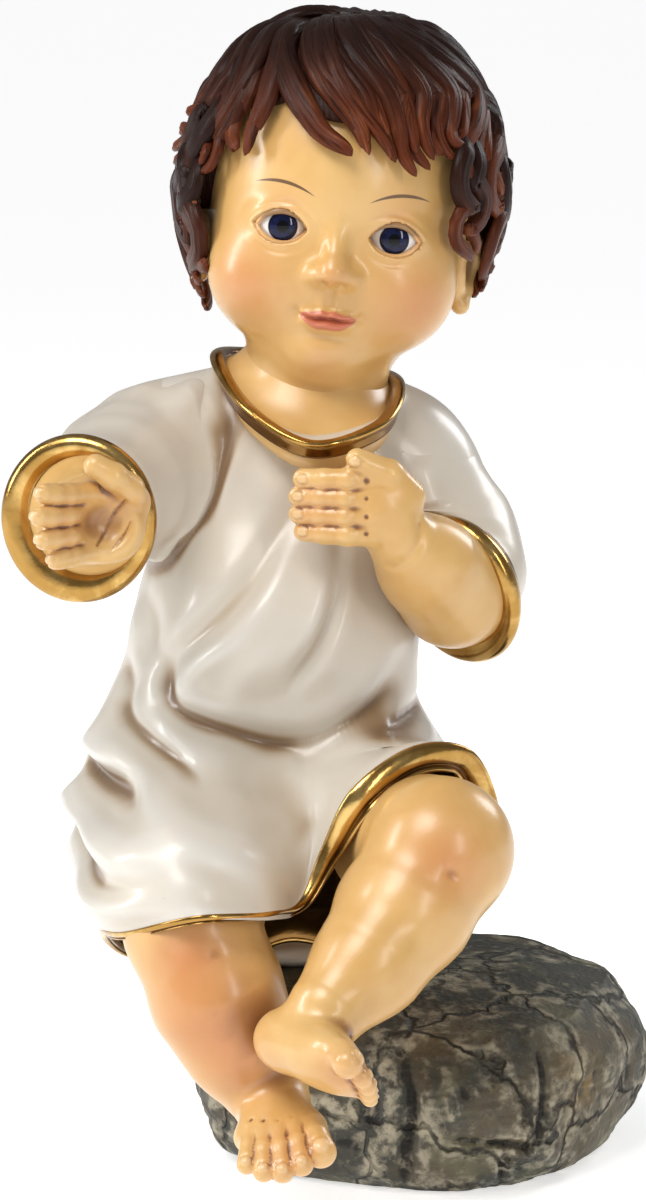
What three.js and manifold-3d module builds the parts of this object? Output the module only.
// Seated child figure in a short tunic, on a rounded boulder.
// Millimetres, +Z up, -Y towards the viewer, +X to the viewer's right.
// The origin is the middle of the boulder's flat underside.

import * as THREE from 'three';
import { LoftGeometry } from 'three/addons/geometries/LoftGeometry.js';
import { mergeVertices } from 'three/addons/utils/BufferGeometryUtils.js';
import Module from 'manifold-3d';

const wasm = await Module();
wasm.setup();

// Driving dimensions

const HEAD_HEIGHT = 126;
const HEAD_WIDTH = 92;
const HEAD_DEPTH = 104;
const HEAD_TILT = THREE.MathUtils.degToRad(7);
const HEAD_CENTRE = new THREE.Vector3(-29, 6, 322);
const EYE_RADIUS = 10.5;
const EYE_GAP = 0.3;
const SEAT_HEIGHT = 61;
const SEAT_GAP = 0.3;
const CLOTH = 3;
const HEM_POCKET = 7;
const CUFF_WALL = 5.5;
const CUFF_POCKET = 10;
const FINGER_RADIUS = 3.7;
const TOE_RADIUS = 3.4;
const ROCK_SIZE = new THREE.Vector3(140, 146, 61);
const ROCK_TURN = 0.42;
const ROCK_LEAN = 0.1;
const ROCK_BACK = 0.8;
const ROCK_FLATNESS = 1.16;
const MERGE_DISTANCE = 1e-3;

// Vectors and small sums

const vec = (x, y, z) => new THREE.Vector3(x, y, z);
const along = (a, b, t) => a.clone().lerp(b, t);
const mix = (a, b, t) => a + (b - a) * t;
const bell = (x) => Math.exp(-x * x);

// Unit direction: azimuth from the front towards +X, polar from straight up
const spherical = (azimuth, polar) => vec(
  Math.sin(polar) * Math.sin(azimuth),
  -Math.sin(polar) * Math.cos(azimuth),
  Math.cos(polar),
);

function smoothstep(low, high, x) {
  const t = Math.min(Math.max((x - low) / (high - low), 0), 1);
  return t * t * (3 - 2 * t);
}

// Distance fields of the rounded body masses

function ellipsoidField(centre, radii) {
  return (p) => {
    const q = p.clone().sub(centre);
    const near = q.clone().divide(radii).length();
    const slope = q.divide(radii).divide(radii).length();
    return slope < 1e-9 ? -Math.min(radii.x, radii.y, radii.z) : near * (near - 1) / slope;
  };
}

function coneField(start, end, startRadius, endRadius) {
  const axis = end.clone().sub(start);
  return (p) => {
    const t = THREE.MathUtils.clamp(p.clone().sub(start).dot(axis) / axis.lengthSq(), 0, 1);
    return p.distanceTo(along(start, end, t)) - mix(startRadius, endRadius, t);
  };
}

// Polynomial smooth union: blend k, h = max(k - |a - b|, 0) / k, min(a, b) - h^2 k / 4
function blended(fields, blend) {
  return (p) => fields.map((field) => field(p)).reduce((a, b) => {
    const h = Math.max(blend - Math.abs(a - b), 0) / blend;
    return Math.min(a, b) - h * h * blend / 4;
  });
}

// Walks outwards from a point inside the field and returns the distance to its surface
function reach(origin, direction, field, limit = 120) {
  let distance = 0;
  for (let step = 0; step < 80 && distance < limit; step += 1) {
    const gap = -field(origin.clone().addScaledVector(direction, distance));
    if (gap < 0.02) {
      break;
    }
    distance += Math.max(0.7 * gap, 0.02);
  }
  return distance;
}

// Closed geometries, solids and joins

function solid(geometry) {
  const bare = new THREE.BufferGeometry();
  bare.setAttribute('position', geometry.attributes.position);
  bare.setIndex(geometry.index);
  const merged = mergeVertices(bare, MERGE_DISTANCE);
  const corners = merged.index.array;
  const kept = [];
  for (let i = 0; i < corners.length; i += 3) {
    const [a, b, c] = corners.slice(i, i + 3);
    if (a !== b && b !== c && c !== a) {
      kept.push(a, b, c);
    }
  }
  return new wasm.Manifold(new wasm.Mesh({
    numProp: 3,
    vertProperties: new Float32Array(merged.attributes.position.array),
    triVerts: new Uint32Array(kept),
  }));
}

function join(solids) {
  return solids.reduce((whole, next) => whole.add(next));
}

function geometryOf(manifold) {
  const mesh = manifold.getMesh();
  const geometry = new THREE.BufferGeometry();
  geometry.setAttribute('position', new THREE.BufferAttribute(mesh.vertProperties, 3));
  geometry.setIndex(new THREE.BufferAttribute(mesh.triVerts, 1));
  geometry.computeVertexNormals();
  return geometry;
}

// Skins the sections and closes both ends to a point: the given tips, or the sections' middles
function loft(sections, tips = []) {
  const closedTo = (section, tip) => {
    const middle = section.reduce((sum, p) => sum.add(p), vec(0, 0, 0)).divideScalar(section.length);
    return section.map(() => (tip ?? middle).clone());
  };
  const start = closedTo(sections[0], tips[0]);
  const end = closedTo(sections.at(-1), tips[1]);
  return solid(new LoftGeometry([start, ...sections, end]));
}

// One elliptic section: side and front are its half axes as vectors
function ellipseSection(centre, side, front, sides) {
  return Array.from({ length: sides }, (_, i) => {
    const angle = 2 * Math.PI * i / sides;
    return centre.clone()
      .addScaledVector(side, Math.cos(angle))
      .addScaledVector(front, Math.sin(angle));
  });
}

const CAP_ANGLE = THREE.MathUtils.degToRad(48);

// A limb: a smooth curve through the stations, each with a radius, with rounded ends.
// flat is the section's thickness over its width, across the given side direction.
function limb(stations, { sides = 8, steps = 8, flat = 1, across = vec(1, 0, 0) } = {}) {
  const curve = new THREE.CatmullRomCurve3(stations.map((s) => s[0]), false, 'centripetal');
  const radii = stations.map((s) => s[1]);
  const radiusAt = (t) => {
    const place = t * (radii.length - 1);
    const i = Math.min(Math.floor(place), radii.length - 2);
    const part = place - i;
    return mix(radii[i], radii[i + 1], (smoothstep(0, 1, part) + part) / 2);
  };
  const sections = [];
  const addSection = (centre, tangent, radius) => {
    const side = across.clone().addScaledVector(tangent, -across.dot(tangent)).normalize();
    const front = side.clone().cross(tangent).negate();
    sections.push(ellipseSection(
      centre, side.multiplyScalar(radius), front.multiplyScalar(radius * flat), sides,
    ));
  };
  // A point past either end of the curve, by a share of the radius there
  const beyond = (t, share) => curve.getPoint(t).addScaledVector(curve.getTangent(t), radiusAt(t) * share);
  const addCap = (t, sign) => addSection(
    beyond(t, sign * Math.sin(CAP_ANGLE)), curve.getTangent(t), radiusAt(t) * Math.cos(CAP_ANGLE),
  );
  addCap(0, -1);
  for (let i = 0; i <= steps; i += 1) {
    addSection(curve.getPoint(i / steps), curve.getTangent(i / steps), radiusAt(i / steps));
  }
  addCap(1, 1);
  return loft(sections, [beyond(0, -1), beyond(1, 1)]);
}

function ball(centre, radii, { turn = [0, 0, 0], columns = 12, rows = 8 } = {}) {
  const geometry = new THREE.SphereGeometry(1, columns, rows);
  geometry.scale(radii.x, radii.y, radii.z);
  geometry.applyMatrix4(new THREE.Matrix4().makeRotationFromEuler(new THREE.Euler(...turn)));
  geometry.translate(centre.x, centre.y, centre.z);
  return solid(geometry);
}

// Tunic: body of the cloth

const SHOULDER_RIGHT = vec(-80, 9, 242);
const SHOULDER_LEFT = vec(-7, 10, 234);
const BELLY = vec(-51, 1, 178);
const HIPS = vec(-50, 12, 110);
const FLANK = vec(-80, 2, 136);
const HIP_RIGHT = vec(-76, -6, 110);
const KNEE_RIGHT = vec(-77, -93, 97);
const HIP_LEFT = vec(-26, -6, 106);
const KNEE_LEFT = vec(3, -90, 123);

const clothField = blended([
  ellipsoidField(vec(-42, 8, 232), vec(40, 33, 36)),
  ellipsoidField(SHOULDER_RIGHT, vec(24, 24, 21)),
  ellipsoidField(SHOULDER_LEFT, vec(22, 23, 24)),
  ellipsoidField(BELLY, vec(49, 48, 52)),
  ellipsoidField(HIPS, vec(62, 50, 54)),
  ellipsoidField(FLANK, vec(28, 36, 36)),
  coneField(HIP_RIGHT, vec(-76, -90, 102), 40, 31),
  coneField(HIP_LEFT, vec(-1, -68, 122), 38, 30),
], 22);

// The hem as a closed curve, from the figure's left side round the front to its right, then behind
const HEM = new THREE.CatmullRomCurve3([
  vec(23, -38, 102),
  vec(24, -46, 122),
  vec(13.8, -60, 148),
  vec(-4, -71, 152),
  vec(-25, -82, 140),
  vec(-35, -81, 120),
  vec(-42, -88, 105),
  vec(-52, -108, 106),
  vec(-74, -121, 108),
  vec(-98, -102, 98),
  vec(-108, -70, 90),
  vec(-100, -38, 73),
  vec(-72, -24, 64),
  vec(-46, -14, 72),
  vec(-14, -16, 66),
  vec(14, -26, 82),
], true, 'centripetal');

// The neckline as a closed curve, in the same turning direction
const NECKLINE = new THREE.CatmullRomCurve3([
  vec(-8, 4, 262),
  vec(-15, -31, 252),
  vec(-38, -43, 247),
  vec(-60, -30, 257),
  vec(-72, 2, 271),
  vec(-62, 25, 270),
  vec(-40, 33, 268),
  vec(-18, 25, 264),
], true, 'centripetal');

// The cloth's middle line bends from the neck down the trunk and forward along the thighs
const SPINE = new THREE.CatmullRomCurve3([
  vec(-40, 4, 262),
  vec(-43, 4, 232),
  vec(-50, 2, 180),
  vec(-50, -4, 132),
  vec(-47, -26, 102),
  vec(-44, -48, 93),
], false, 'centripetal');

// Folds in the front view: each a path in X and Z, its height (a groove below zero) and its width
const FOLDS = [
  { path: [[-30, 222], [-31, 200], [-40, 180], [-48, 168]], height: -3.4, width: 5.5 },
  { path: [[-40, 218], [-45, 196], [-54, 178]], height: 2.2, width: 5.5 },
  { path: [[-48, 232], [-62, 202], [-84, 180], [-98, 160]], height: -3.6, width: 6 },
  { path: [[-58, 234], [-76, 202], [-96, 186]], height: 3, width: 6 },
  { path: [[-88, 164], [-70, 152], [-50, 144], [-30, 148], [-8, 166]], height: -4.6, width: 6 },
  { path: [[-62, 138], [-42, 134], [-24, 140]], height: -2.4, width: 4.5 },
  { path: [[-98, 150], [-80, 134], [-60, 120], [-46, 104]], height: -4.6, width: 6 },
  { path: [[-94, 138], [-76, 122], [-60, 106]], height: 2.8, width: 6 },
  { path: [[-42, 122], [-26, 134], [-8, 149], [10, 154]], height: -4.2, width: 5.5 },
  { path: [[-118, 130], [-102, 135], [-84, 129]], height: -4.2, width: 5.5 },
  { path: [[-118, 108], [-100, 114], [-80, 108]], height: -3.6, width: 5.5 },
  { path: [[-116, 119], [-100, 124], [-82, 118]], height: 3, width: 5.5 },
];

// Nearest place on a front-view path: its distance, and its share of the path's length
function nearestOnPath(path, point) {
  let gap = Infinity;
  let share = 0;
  for (let i = 0; i + 1 < path.length; i += 1) {
    const [ax, az] = path[i];
    const [bx, bz] = path[i + 1];
    const t = THREE.MathUtils.clamp(
      ((point.x - ax) * (bx - ax) + (point.z - az) * (bz - az)) / ((bx - ax) ** 2 + (bz - az) ** 2),
      0,
      1,
    );
    const distance = Math.hypot(point.x - mix(ax, bx, t), point.z - mix(az, bz, t));
    if (distance < gap) {
      gap = distance;
      share = (i + t) / (path.length - 1);
    }
  }
  return { gap, share };
}

// Height of all folds at a point: each fold is a bell across its path that fades at both ends
function reliefHeight(lines, point) {
  return lines.reduce((sum, line) => {
    const { gap, share } = nearestOnPath(line.path, point);
    return sum + line.height * bell(gap / line.width) * (0.35 + 0.65 * Math.sin(Math.PI * share));
  }, 0);
}

// Angles of points round a centre, each made larger than the one before it
function risingAngles(points, angleOf) {
  const angles = points.map(angleOf);
  for (let i = 1; i < angles.length; i += 1) {
    while (angles[i] < angles[i - 1] - Math.PI) {
      angles[i] += 2 * Math.PI;
    }
  }
  return angles;
}

// Points along a closed curve that starts at the figure's left, closer together in its front half
function frontDensePoints(curve, count) {
  const crowding = 0.45;
  return Array.from({ length: count }, (_, i) => {
    const share = i / count;
    const shift = crowding / (2 * Math.PI) * (Math.sin(2 * Math.PI * (share - 0.25)) + 1);
    return curve.getPointAt(share - shift);
  });
}

const NECK_CENTRE = vec(-40, -2, 256);
const HEM_CENTRE = vec(-44, -50, 90);

function tunicBody() {
  const sides = 36;
  const rows = 20;
  const neckRim = frontDensePoints(NECKLINE, sides);
  const hemRim = frontDensePoints(HEM, sides);
  const neckAngles = risingAngles(neckRim, (p) => Math.atan2(NECK_CENTRE.y - p.y, p.x - NECK_CENTRE.x));
  const hemAngles = risingAngles(hemRim, (p) => Math.atan2(p.z - HEM_CENTRE.z, p.x - HEM_CENTRE.x));
  const sections = [];
  const neckRow = (inset, drop) => neckRim.map((p) => along(p, NECK_CENTRE.clone().setZ(p.z), inset)
    .add(vec(0, 0, -drop)));
  sections.push(neckRow(0.1, 7));
  sections.push(neckRow(0.07, 0));
  sections.push(neckRow(0, 0));
  for (let row = 1; row < rows; row += 1) {
    const share = row / rows;
    const centre = SPINE.getPoint(share);
    const bend = smoothstep(0.45, 0.95, share) * THREE.MathUtils.degToRad(84);
    const nearNeck = 1 - smoothstep(0, 0.22, share);
    const nearHem = smoothstep(0.5, 1, share);
    sections.push(neckRim.map((neckPoint, i) => {
      const turn = mix(neckAngles[i], hemAngles[i], smoothstep(0.15, 0.75, share));
      const around = vec(Math.cos(turn), -Math.sin(turn) * Math.cos(bend), Math.sin(turn) * Math.sin(bend));
      const out = around.multiplyScalar(1 - Math.max(nearNeck, nearHem))
        .addScaledVector(neckPoint.clone().sub(centre).normalize(), nearNeck)
        .addScaledVector(hemRim[i].clone().sub(centre).normalize(), nearHem)
        .normalize();
      const surface = reach(centre, out, clothField);
      const edge = share < 0.5 ? neckPoint : hemRim[i];
      const hold = Math.max(nearNeck, nearHem) ** 3;
      const p = centre.clone().addScaledVector(out, mix(surface, edge.distanceTo(centre), hold));
      p.addScaledVector(out, reliefHeight(FOLDS, p) * smoothstep(10, -10, p.y) * (1 - hold));
      p.z = Math.max(p.z, SEAT_HEIGHT + SEAT_GAP);
      return p;
    }));
  }
  const hemRow = (inset, back) => hemRim.map((p) => {
    const inward = HEM_CENTRE.clone().sub(p).setY(0).setLength(inset);
    return p.clone().add(inward).add(vec(0, back, 0));
  });
  sections.push(hemRow(0, 0));
  sections.push(hemRow(CLOTH, 0.5));
  sections.push(hemRow(CLOTH + 1, HEM_POCKET));
  return loft(sections, [undefined, HEM_CENTRE.clone().add(vec(0, HEM_POCKET, 0))]);
}

// A sleeve: stations of centre, facing and half sizes, ending in a rolled cuff with a pocket
function sleeve(stations, sides) {
  const ring = (centre, facing, up, wide, tall) => {
    const side = up.clone().cross(facing).normalize();
    return ellipseSection(centre, side.multiplyScalar(wide), up.clone().multiplyScalar(tall), sides);
  };
  const upright = (up, facing) => up.clone().addScaledVector(facing, -up.dot(facing)).normalize();
  const sections = [];
  let up = vec(0, 0, 1);
  for (const [centre, facing, wide, tall] of [...stations].reverse()) {
    const ahead = facing.clone().normalize();
    up = upright(up, ahead);
    sections.unshift(ring(centre, ahead, up, wide, tall));
  }
  const [centre, facing, wide, tall] = stations.at(-1);
  const out = facing.clone().normalize();
  const rim = [
    [2, 2.4],
    [5, 2.4],
    [7, 0],
    [5.5, 0.5 - CUFF_WALL],
    [-CUFF_POCKET, -CUFF_WALL - 1.5],
  ];
  for (const [ahead, wider] of rim) {
    const middle = centre.clone().addScaledVector(out, ahead);
    sections.push(ring(middle, out, upright(vec(0, 0, 1), out), wide + wider, tall + wider));
  }
  return loft(sections);
}

const CUFF_RIGHT = vec(-113, -55, 226);
const CUFF_LEFT = vec(13, -13, 196);

const sleeveRight = () => sleeve([
  [vec(-76, 14, 240), vec(-0.45, -0.85, -0.1), 18, 20],
  [vec(-90, -3, 236), vec(-0.45, -0.85, -0.15), 23, 23],
  [vec(-101, -22, 232), vec(-0.4, -0.9, -0.15), 22.5, 22.5],
  [CUFF_RIGHT, vec(-0.22, -0.97, -0.02), 23, 24.5],
], 14);

const sleeveLeft = () => sleeve([
  [vec(-12, 10, 236), vec(0.5, -0.1, -0.85), 17, 16],
  [vec(-2, 9, 222), vec(0.45, -0.2, -0.88), 21, 19],
  [vec(7, 5, 209), vec(0.1, -0.5, -0.85), 23, 21],
  [CUFF_LEFT, vec(-0.6, -0.74, -0.26), 22, 23.5],
], 14);

// Arms and hands

// A finger from its root through two bends, as stations for limb
function finger(root, tip, lift, radius) {
  const middle = along(root, tip, 0.5).add(lift);
  return limb([[root, radius * 1.05], [middle, radius], [tip, radius * 0.85]], { sides: 6, steps: 2 });
}

const WRIST_RIGHT = vec(-111, -84, 229);

function armRight() {
  const palm = vec(-108, -97, 231);
  const pieces = [
    limb([[vec(-104, -35, 231), 15], [vec(-110, -62, 227), 16.5], [WRIST_RIGHT, 14]], { sides: 10, steps: 3 }),
    ball(palm, vec(12.5, 12.5, 14.5), { turn: [0, 0, -0.35], columns: 10, rows: 6 }),
    limb([[vec(-98, -86, 234), 7], [vec(-97, -96, 241), 5.4], [vec(-104, -102, 248), 4.2]], { sides: 7, steps: 3 }),
  ];
  for (let i = 0; i < 4; i += 1) {
    const height = mix(241, 222, i / 3);
    const spread = Math.sin(Math.PI * (i + 0.6) / 4);
    const root = vec(-110, -101 - 2 * spread, height);
    const tip = vec(-122 + 1.6 * Math.abs(i - 1), -117 - 4 * spread, height - 2.5);
    pieces.push(finger(root, tip, vec(-2, -1.5, 0), FINGER_RADIUS));
  }
  return join(pieces);
}

function armLeft() {
  const wrist = vec(-8, -45, 215);
  const pieces = [
    limb(
      [[vec(16, 0, 196), 13], [vec(9, -21, 195), 17], [vec(0, -36, 206), 15], [wrist, 12]],
      { sides: 10, steps: 5 },
    ),
    ball(vec(-15, -50, 226), vec(12.5, 8.5, 13.5), { turn: [0, 0.25, 0.35], columns: 10, rows: 6 }),
    limb([[vec(-8, -48, 232), 5.5], [vec(-14, -52, 238), 4.6], [vec(-23, -53, 242), 3.6]], { sides: 7, steps: 3 }),
  ];
  for (let i = 0; i < 4; i += 1) {
    const height = mix(237, 219.5, i / 3);
    const root = vec(-19, -52 - 0.6 * i, height + 0.5 - 0.4 * i);
    const tip = vec(-37.5 - 2.6 * Math.sin(Math.PI * (i + 0.5) / 4), -50.5, height);
    pieces.push(finger(root, tip, vec(0, -2.2, 0), FINGER_RADIUS));
  }
  return join(pieces);
}

// Legs and feet

// A foot from heel to toes. lateral points from the big toe to the little one.
function foot(heel, arch, ball, lateral, big) {
  const ahead = ball.clone().sub(arch).normalize();
  const pieces = [
    limb([[heel, 11.5], [arch, 12.5], [ball, 13]], { sides: 10, steps: 3, flat: 0.74, across: lateral }),
  ];
  const sideways = [-8.5, -2.6, 1.6, 5.4, 8.8];
  const lengths = [12, 11.5, 10.5, 8.8, 6.6];
  for (let i = 0; i < sideways.length; i += 1) {
    const radius = i === 0 ? TOE_RADIUS * 1.55 : TOE_RADIUS * (1.02 - 0.05 * i);
    const root = ball.clone().addScaledVector(lateral, sideways[i] * 0.92).addScaledVector(ahead, 3);
    const tip = ball.clone().addScaledVector(lateral, sideways[i])
      .addScaledVector(ahead, lengths[i]).add(vec(0, 0, -big * 2.5));
    pieces.push(limb([[root, radius], [tip, radius]], { sides: i === 0 ? 7 : 5, steps: 1 }));
  }
  return join(pieces);
}

function legRight() {
  const ankle = vec(-54, -100, 49);
  return join([
    limb([[vec(-76, -50, 103), 25], [KNEE_RIGHT, 22.5], [vec(-69, -100, 76), 19.5],
      [vec(-61, -101, 60), 16.5], [ankle, 14]], { sides: 11, steps: 6 }),
    foot(vec(-54, -93, 44), vec(-51, -112, 42), vec(-47, -129, 37), vec(-0.98, 0.14, -0.05).normalize(), 1),
  ]);
}

function legLeft() {
  const ankle = vec(-33, -126, 79);
  return join([
    limb([[vec(-14, -50, 114), 26], [KNEE_LEFT, 24.5], [vec(-8, -101, 105), 20.5], [vec(-20, -113, 91), 17.5],
      [ankle, 13.5]], { sides: 11, steps: 6 }),
    foot(vec(-46, -126, 68), vec(-38, -139, 68), vec(-29, -151, 67), vec(0.45, 0.45, -0.77).normalize(), 0),
  ]);
}

// Head, in its own frame: origin at the head's centre, then tilted and placed

const HEAD_FRAME = new THREE.Matrix4().makeRotationY(HEAD_TILT).setPosition(HEAD_CENTRE);
const EYE_LINE = -0.05 * HEAD_HEIGHT;
const EYE_SPREAD = 0.2 * HEAD_WIDTH;
const EYE_DEPTH = -0.275 * HEAD_DEPTH;
const LID = 1.7;
const NOSE_BASE = -0.19 * HEAD_HEIGHT;
const MOUTH_LINE = -0.275 * HEAD_HEIGHT;
const CHIN = -0.44 * HEAD_HEIGHT;

const SKULL = vec(HEAD_WIDTH / 2, HEAD_DEPTH / 2, 0.44 * HEAD_HEIGHT);
const SKULL_CENTRE = vec(0, 8, 6);
const bothSides = (make) => [make(-1), make(1)];
const eyeCentre = (sign) => vec(sign * EYE_SPREAD, EYE_DEPTH, EYE_LINE);

function headField() {
  const lidRadius = EYE_RADIUS + LID;
  const base = blended([
    ellipsoidField(SKULL_CENTRE, SKULL),
    ellipsoidField(vec(0, -9, -27), vec(31, 31, 26)),
    ellipsoidField(vec(0, -28, CHIN + 9), vec(12, 10, 9)),
    ...bothSides((s) => ellipsoidField(vec(s * 21, -20, -24), vec(19, 19, 18))),
  ], 14);
  const lids = bothSides((s) => ellipsoidField(eyeCentre(s), vec(lidRadius, lidRadius, lidRadius)));
  const nose = blended([
    coneField(vec(0, -41, EYE_LINE + 4), vec(0, -46.5, NOSE_BASE + 5), 2.6, 4.4),
    ...bothSides((s) => ellipsoidField(vec(s * 4.4, -43, NOSE_BASE + 3.6), vec(3.2, 3.6, 2.8))),
  ], 4);
  const lips = blended([
    ...bothSides((s) => coneField(vec(s * 7, -38.6, MOUTH_LINE + 0.8), vec(0, -41.4, MOUTH_LINE + 2), 1.6, 2.3)),
    coneField(vec(-4, -39.2, MOUTH_LINE - 2.6), vec(4, -39.2, MOUTH_LINE - 2.6), 2.3, 2.3),
  ], 1.5);
  return blended([blended([blended([base, ...lids], 3), nose], 5), lips], 2.5);
}

function headShell() {
  const field = headField();
  const sides = 30;
  const rows = 20;
  const centre = vec(0, -4, -12);
  const sections = [];
  for (let row = 0; row <= rows; row += 1) {
    const polar = Math.PI * mix(0.975, 0.16, row / rows);
    sections.push(Array.from({ length: sides }, (_, i) => {
      const round = i / sides;
      const azimuth = 2 * Math.PI * round - 0.74 * Math.sin(2 * Math.PI * round);
      const out = spherical(azimuth, polar);
      return centre.clone().addScaledVector(out, reach(centre, out, field));
    }));
  }
  return loft(sections);
}

// The almond opening between the lids: where two round bars cross
function lidOpening(sign) {
  const wide = 15.5;
  const tall = 9;
  const radius = wide ** 2 / (4 * tall) + tall / 4;
  const bars = [-1, 1].map((side) => {
    const bar = new THREE.CylinderGeometry(radius, radius, 20, 36);
    bar.translate(0, -16, 0);
    bar.translate(0, 0, side * (radius - tall / 2));
    const centre = eyeCentre(sign);
    bar.translate(centre.x, centre.y, centre.z);
    return solid(bar);
  });
  return bars[0].intersect(bars[1]);
}

function ear(sign) {
  const centre = vec(sign * (HEAD_WIDTH / 2 + 1), 4, -12);
  const shell = ball(centre, vec(5, 8, 13), { turn: [0.15, -sign * 0.25, sign * 0.35], columns: 9, rows: 6 });
  const bowl = ball(centre.clone().add(vec(sign * 4.5, -2.5, 1)), vec(3.4, 5, 8), { columns: 7, rows: 4 });
  return shell.subtract(bowl);
}

// Hair: one carved mass of locks that sweep from the whorl to flipped tips.
// Each lock is four columns wide: a groove, a rise, a crest and a fall.

const LOCKS = 14;
const LOCK_HEIGHTS = [0, 2.8, 4.4, 3.2];
const LOCK_TIPS = [0, 0.08, 0.15, 0.07];
const HAIR_THICKNESS = 6.5;
const WHORL = vec(-0.22, -0.1, 1).normalize();

// Polar angle of the hair's lower edge: high over one side of the brow, low at the ears and the nape
function hairline(azimuth) {
  const turn = Math.abs(azimuth);
  const parting = 0.27 * bell((azimuth + 0.5) / 0.3);
  return 1.36 - parting + 0.55 * smoothstep(0.8, 1.3, turn) + 0.3 * smoothstep(1.7, 2.5, turn);
}

function hair() {
  const sides = LOCKS * LOCK_HEIGHTS.length;
  const rows = 8;
  const sections = [];
  const addRow = (share, lift, carved) => {
    sections.push(Array.from({ length: sides }, (_, i) => {
      const column = i % LOCK_HEIGHTS.length;
      const sway = 0.16 * Math.sin(2 * Math.PI * share) * carved;
      const azimuth = Math.PI - 2 * Math.PI * i / sides + sway;
      const edge = spherical(azimuth, hairline(azimuth) + LOCK_TIPS[column] * carved);
      const out = WHORL.clone().lerp(edge, share).normalize();
      const relief = LOCK_HEIGHTS[column] * carved * smoothstep(0, 0.35, share);
      const flip = 2.2 * column * carved * smoothstep(0.75, 1, share);
      const size = lift + relief + flip;
      const wide = 1.5 + 4 * smoothstep(0.3, 0.9, share) * Math.abs(out.x);
      return SKULL_CENTRE.clone().add(SKULL.clone().addScalar(size).add(vec(wide, 0, -3.5)).multiply(out));
    }));
  };
  for (let row = 1; row <= rows; row += 1) {
    addRow(row / rows, HAIR_THICKNESS - 3 * (row / rows) ** 3, 1);
  }
  addRow(0.97, -1.5, 1);
  addRow(0.9, -12, 0);
  return loft(sections);
}

function head() {
  const face = bothSides(lidOpening).reduce((rest, opening) => rest.subtract(opening), headShell());
  return join([face, ear(-1), ear(1), hair()]).transform(HEAD_FRAME.elements);
}

function eyePlace(sign) {
  return eyeCentre(sign).applyMatrix4(HEAD_FRAME);
}

function neck() {
  return limb([[vec(-40, 10, 240), 24], [vec(-39, 4, 258), 22], [vec(-33, 2, 285), 25]], { sides: 14, steps: 4 });
}

// Boulder: a rounded block with a flat foot and a flat seat

// Cracks and ledges of its front, as paths in X and Z
const CRACKS = [
  { path: [[-9, 58], [-6, 34], [-9, 8]], height: -6, width: 4.5 },
  { path: [[4, 52], [8, 36], [6, 22]], height: 2, width: 4 },
  { path: [[-2, 26], [20, 24], [42, 20]], height: -3.5, width: 3.5 },
  { path: [[38, 54], [40, 38], [36, 24]], height: -2.6, width: 3.5 },
  { path: [[26, 20], [24, 8], [25, 0]], height: -2.6, width: 3.5 },
];

function rock() {
  const columns = 32;
  const rows = 12;
  const half = ROCK_SIZE.clone().multiplyScalar(0.5);
  const crowding = 0.5;
  const rounded = (value, power) => Math.sign(value) * Math.abs(value) ** power;
  const sections = [];
  for (let row = 0; row <= rows; row += 1) {
    const share = row / rows;
    const level = rounded(Math.sin(Math.PI * (share - 0.5)), 0.85);
    const girth = Math.max(Math.cos(Math.PI * (share - 0.5)), 0.02) ** 0.3;
    sections.push(Array.from({ length: columns }, (_, i) => {
      const even = 2 * Math.PI * i / columns;
      const angle = even + crowding * (Math.cos(even) - 1) + ROCK_TURN;
      const lump = girth * (1 + 0.03 * Math.sin(3 * angle + 1) + 0.02 * Math.sin(5 * angle + 4 * level));
      const left = Math.cos(angle) < 0 ? 1 + ROCK_LEAN * share : 1;
      const x = rounded(Math.cos(angle), 0.62) * half.x * lump * left;
      const back = Math.sin(angle) > 0 ? ROCK_BACK : 1;
      const y = rounded(Math.sin(angle), 0.62) * half.y * lump * back;
      const p = vec(x, y, half.z * (1 + ROCK_FLATNESS * level)).applyAxisAngle(vec(0, 0, 1), -ROCK_TURN);
      const out = vec(p.x, p.y, 0).normalize();
      p.addScaledVector(out, reliefHeight(CRACKS, p) * smoothstep(0, -30, p.y) * smoothstep(0, 0.3, girth));
      p.z = THREE.MathUtils.clamp(p.z, 0, SEAT_HEIGHT);
      return p;
    }));
  }
  return loft(sections);
}

// Materials and nodes

const PAINTED_FIGURE = new THREE.MeshStandardMaterial({ color: 0xd9c3a0, roughness: 0.35, metalness: 0 });
const EYE_GLASS = new THREE.MeshStandardMaterial({ color: 0x1c2340, roughness: 0.06, metalness: 0 });
const DARK_ROCK = new THREE.MeshStandardMaterial({ color: 0x34322d, roughness: 0.7, metalness: 0 });

function node(name, manifold, material) {
  const mesh = new THREE.Mesh(geometryOf(manifold), material);
  mesh.name = name;
  return mesh;
}

function figure() {
  const eyes = [-1, 1].map((sign) => {
    const radius = EYE_RADIUS + EYE_GAP;
    return ball(eyePlace(sign), vec(radius, radius, radius), { columns: 10, rows: 6 });
  });
  const whole = join([
    tunicBody(), sleeveRight(), sleeveLeft(), neck(), head(),
    armRight(), armLeft(), legRight(), legLeft(),
  ]);
  return eyes.reduce((rest, eye) => rest.subtract(eye), whole);
}

function eye(sign) {
  return ball(eyePlace(sign), vec(EYE_RADIUS, EYE_RADIUS, EYE_RADIUS), { columns: 10, rows: 6 });
}

const statue = new THREE.Group();
statue.add(node('figure', figure(), PAINTED_FIGURE));
statue.add(node('eye_right', eye(-1), EYE_GLASS));
statue.add(node('eye_left', eye(1), EYE_GLASS));
statue.add(node('rock', rock(), DARK_ROCK));

export default statue;
